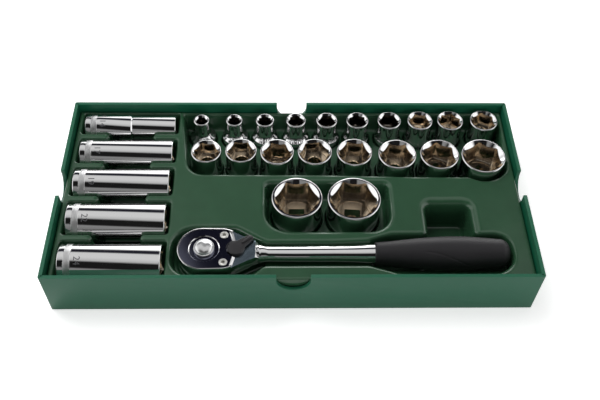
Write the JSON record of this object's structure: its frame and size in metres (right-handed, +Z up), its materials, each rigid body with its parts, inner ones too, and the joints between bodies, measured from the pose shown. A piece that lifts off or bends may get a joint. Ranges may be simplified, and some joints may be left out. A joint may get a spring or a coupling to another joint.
{
  "type": "socket wrench set in tray",
  "caption": "Half-inch drive socket set: short and deep six-point sockets and a quick-release ratchet with a rubber grip, each in its own pocket of an open tray with a formed insert.",
  "frame": {"origin": "centre of the tray's underside", "axes": "+X along the tray to the grip's end of the ratchet, +Y to the back row of sockets, +Z up"},
  "size_m": [0.366, 0.175, 0.044],
  "materials": {
    "shell_plastic": "moulded, semi-gloss",
    "insert_plastic": "vacuum formed, satin",
    "chrome": "polished",
    "plate_chrome": "polished",
    "steel": "machined",
    "lever_black": "moulded, satin",
    "grip_rubber": "satin"
  },
  "bodies": {
    "tray": {"tray_shell": "shell_plastic", "insert_deck": "insert_plastic", "insert_trough_left": "insert_plastic", "insert_channel": "insert_plastic", "insert_trough_right": "insert_plastic", "insert_row_cups": "insert_plastic", "insert_large_cups": "insert_plastic", "insert_ratchet_pocket": "insert_plastic", "insert_finger_pocket": "insert_plastic"},
    "socket_08mm": {"socket_08mm": "chrome"},
    "socket_09mm": {"socket_09mm": "chrome"},
    "socket_10mm": {"socket_10mm": "chrome"},
    "socket_11mm": {"socket_11mm": "chrome"},
    "socket_12mm": {"socket_12mm": "chrome"},
    "socket_13mm": {"socket_13mm": "chrome"},
    "socket_14mm": {"socket_14mm": "chrome"},
    "socket_15mm": {"socket_15mm": "chrome"},
    "socket_16mm": {"socket_16mm": "chrome"},
    "socket_17mm": {"socket_17mm": "chrome"},
    "socket_18mm": {"socket_18mm": "chrome"},
    "socket_19mm": {"socket_19mm": "chrome"},
    "socket_20mm": {"socket_20mm": "chrome"},
    "socket_21mm": {"socket_21mm": "chrome"},
    "socket_22mm": {"socket_22mm": "chrome"},
    "socket_23mm": {"socket_23mm": "chrome"},
    "socket_24mm": {"socket_24mm": "chrome"},
    "socket_27mm": {"socket_27mm": "chrome"},
    "socket_30mm": {"socket_30mm": "chrome"},
    "socket_32mm": {"socket_32mm": "chrome"},
    "deep_socket_14mm": {"deep_socket_14mm": "chrome"},
    "deep_socket_17mm": {"deep_socket_17mm": "chrome"},
    "deep_socket_19mm": {"deep_socket_19mm": "chrome"},
    "deep_socket_22mm": {"deep_socket_22mm": "chrome"},
    "deep_socket_24mm": {"deep_socket_24mm": "chrome"},
    "ratchet": {"ratchet_body": "chrome", "cover_plate": "plate_chrome", "cover_screws": "steel", "pawl_pin": "steel", "handle_grip": "grip_rubber"},
    "lever": {"reversing_lever": "lever_black", "lever_plunger": "steel"},
    "pawl": {"pawl": "steel"},
    "drive": {"drive_gear": "steel", "release_spring": "steel"},
    "button": {"release_button": "chrome", "release_pin": "steel"},
    "ball": {"detent_ball": "steel"}
  },
  "joints": [
    {"name": "lift_socket_08mm", "type": "slide", "parent": "tray", "child": "socket_08mm", "axis": [0, 0, 1], "range_m": [0, 0.05]},
    {"name": "lift_socket_09mm", "type": "slide", "parent": "tray", "child": "socket_09mm", "axis": [0, 0, 1], "range_m": [0, 0.05]},
    {"name": "lift_socket_10mm", "type": "slide", "parent": "tray", "child": "socket_10mm", "axis": [0, 0, 1], "range_m": [0, 0.05]},
    {"name": "lift_socket_11mm", "type": "slide", "parent": "tray", "child": "socket_11mm", "axis": [0, 0, 1], "range_m": [0, 0.05]},
    {"name": "lift_socket_12mm", "type": "slide", "parent": "tray", "child": "socket_12mm", "axis": [0, 0, 1], "range_m": [0, 0.05]},
    {"name": "lift_socket_13mm", "type": "slide", "parent": "tray", "child": "socket_13mm", "axis": [0, 0, 1], "range_m": [0, 0.05]},
    {"name": "lift_socket_14mm", "type": "slide", "parent": "tray", "child": "socket_14mm", "axis": [0, 0, 1], "range_m": [0, 0.05]},
    {"name": "lift_socket_15mm", "type": "slide", "parent": "tray", "child": "socket_15mm", "axis": [0, 0, 1], "range_m": [0, 0.05]},
    {"name": "lift_socket_16mm", "type": "slide", "parent": "tray", "child": "socket_16mm", "axis": [0, 0, 1], "range_m": [0, 0.05]},
    {"name": "lift_socket_17mm", "type": "slide", "parent": "tray", "child": "socket_17mm", "axis": [0, 0, 1], "range_m": [0, 0.05]},
    {"name": "lift_socket_18mm", "type": "slide", "parent": "tray", "child": "socket_18mm", "axis": [0, 0, 1], "range_m": [0, 0.05]},
    {"name": "lift_socket_19mm", "type": "slide", "parent": "tray", "child": "socket_19mm", "axis": [0, 0, 1], "range_m": [0, 0.05]},
    {"name": "lift_socket_20mm", "type": "slide", "parent": "tray", "child": "socket_20mm", "axis": [0, 0, 1], "range_m": [0, 0.05]},
    {"name": "lift_socket_21mm", "type": "slide", "parent": "tray", "child": "socket_21mm", "axis": [0, 0, 1], "range_m": [0, 0.05]},
    {"name": "lift_socket_22mm", "type": "slide", "parent": "tray", "child": "socket_22mm", "axis": [0, 0, 1], "range_m": [0, 0.05]},
    {"name": "lift_socket_23mm", "type": "slide", "parent": "tray", "child": "socket_23mm", "axis": [0, 0, 1], "range_m": [0, 0.05]},
    {"name": "lift_socket_24mm", "type": "slide", "parent": "tray", "child": "socket_24mm", "axis": [0, 0, 1], "range_m": [0, 0.05]},
    {"name": "lift_socket_27mm", "type": "slide", "parent": "tray", "child": "socket_27mm", "axis": [0, 0, 1], "range_m": [0, 0.05]},
    {"name": "lift_socket_30mm", "type": "slide", "parent": "tray", "child": "socket_30mm", "axis": [0, 0, 1], "range_m": [0, 0.05]},
    {"name": "lift_socket_32mm", "type": "slide", "parent": "tray", "child": "socket_32mm", "axis": [0, 0, 1], "range_m": [0, 0.05]},
    {"name": "lift_deep_socket_14mm", "type": "slide", "parent": "tray", "child": "deep_socket_14mm", "axis": [0, 0, 1], "range_m": [0, 0.05]},
    {"name": "lift_deep_socket_17mm", "type": "slide", "parent": "tray", "child": "deep_socket_17mm", "axis": [0, 0, 1], "range_m": [0, 0.05]},
    {"name": "lift_deep_socket_19mm", "type": "slide", "parent": "tray", "child": "deep_socket_19mm", "axis": [0, 0, 1], "range_m": [0, 0.05]},
    {"name": "lift_deep_socket_22mm", "type": "slide", "parent": "tray", "child": "deep_socket_22mm", "axis": [0, 0, 1], "range_m": [0, 0.05]},
    {"name": "lift_deep_socket_24mm", "type": "slide", "parent": "tray", "child": "deep_socket_24mm", "axis": [0, 0, 1], "range_m": [0, 0.05]},
    {"name": "lift_ratchet", "type": "slide", "parent": "tray", "child": "ratchet", "axis": [0, 0, 1], "range_m": [0, 0.05]},
    {"name": "lever_turn", "type": "hinge", "parent": "ratchet", "child": "lever", "pos_m": [-0.0425, -0.0579, 0.0385], "axis": [0, 0, 1], "range_deg": [-80, 0]},
    {"name": "pawl_rock", "type": "hinge", "parent": "ratchet", "child": "pawl", "pos_m": [-0.0499, -0.0579, 0.0265], "axis": [0, 0, 1], "range_deg": [0, 8]},
    {"name": "drive_spin", "type": "hinge", "parent": "ratchet", "child": "drive", "pos_m": [-0.0665, -0.0579, 0.0265], "axis": [0, 0, 1], "continuous": true},
    {"name": "button_push", "type": "slide", "parent": "drive", "child": "button", "axis": [0, 0, -1], "range_m": [0, 0.003], "stiffness_N_per_m": 500, "springref_m": -0.002, "deforming": ["release_spring"]},
    {"name": "ball_slide", "type": "slide", "parent": "drive", "child": "ball", "axis": [1, 0, 0], "range_m": [0, 0.0009]}
  ],
  "couplings": [
    {"joint": "pawl_rock", "follows": "lever_turn", "ratio": -0.1},
    {"joint": "ball_slide", "follows": "button_push", "ratio": 0.3}
  ]
}
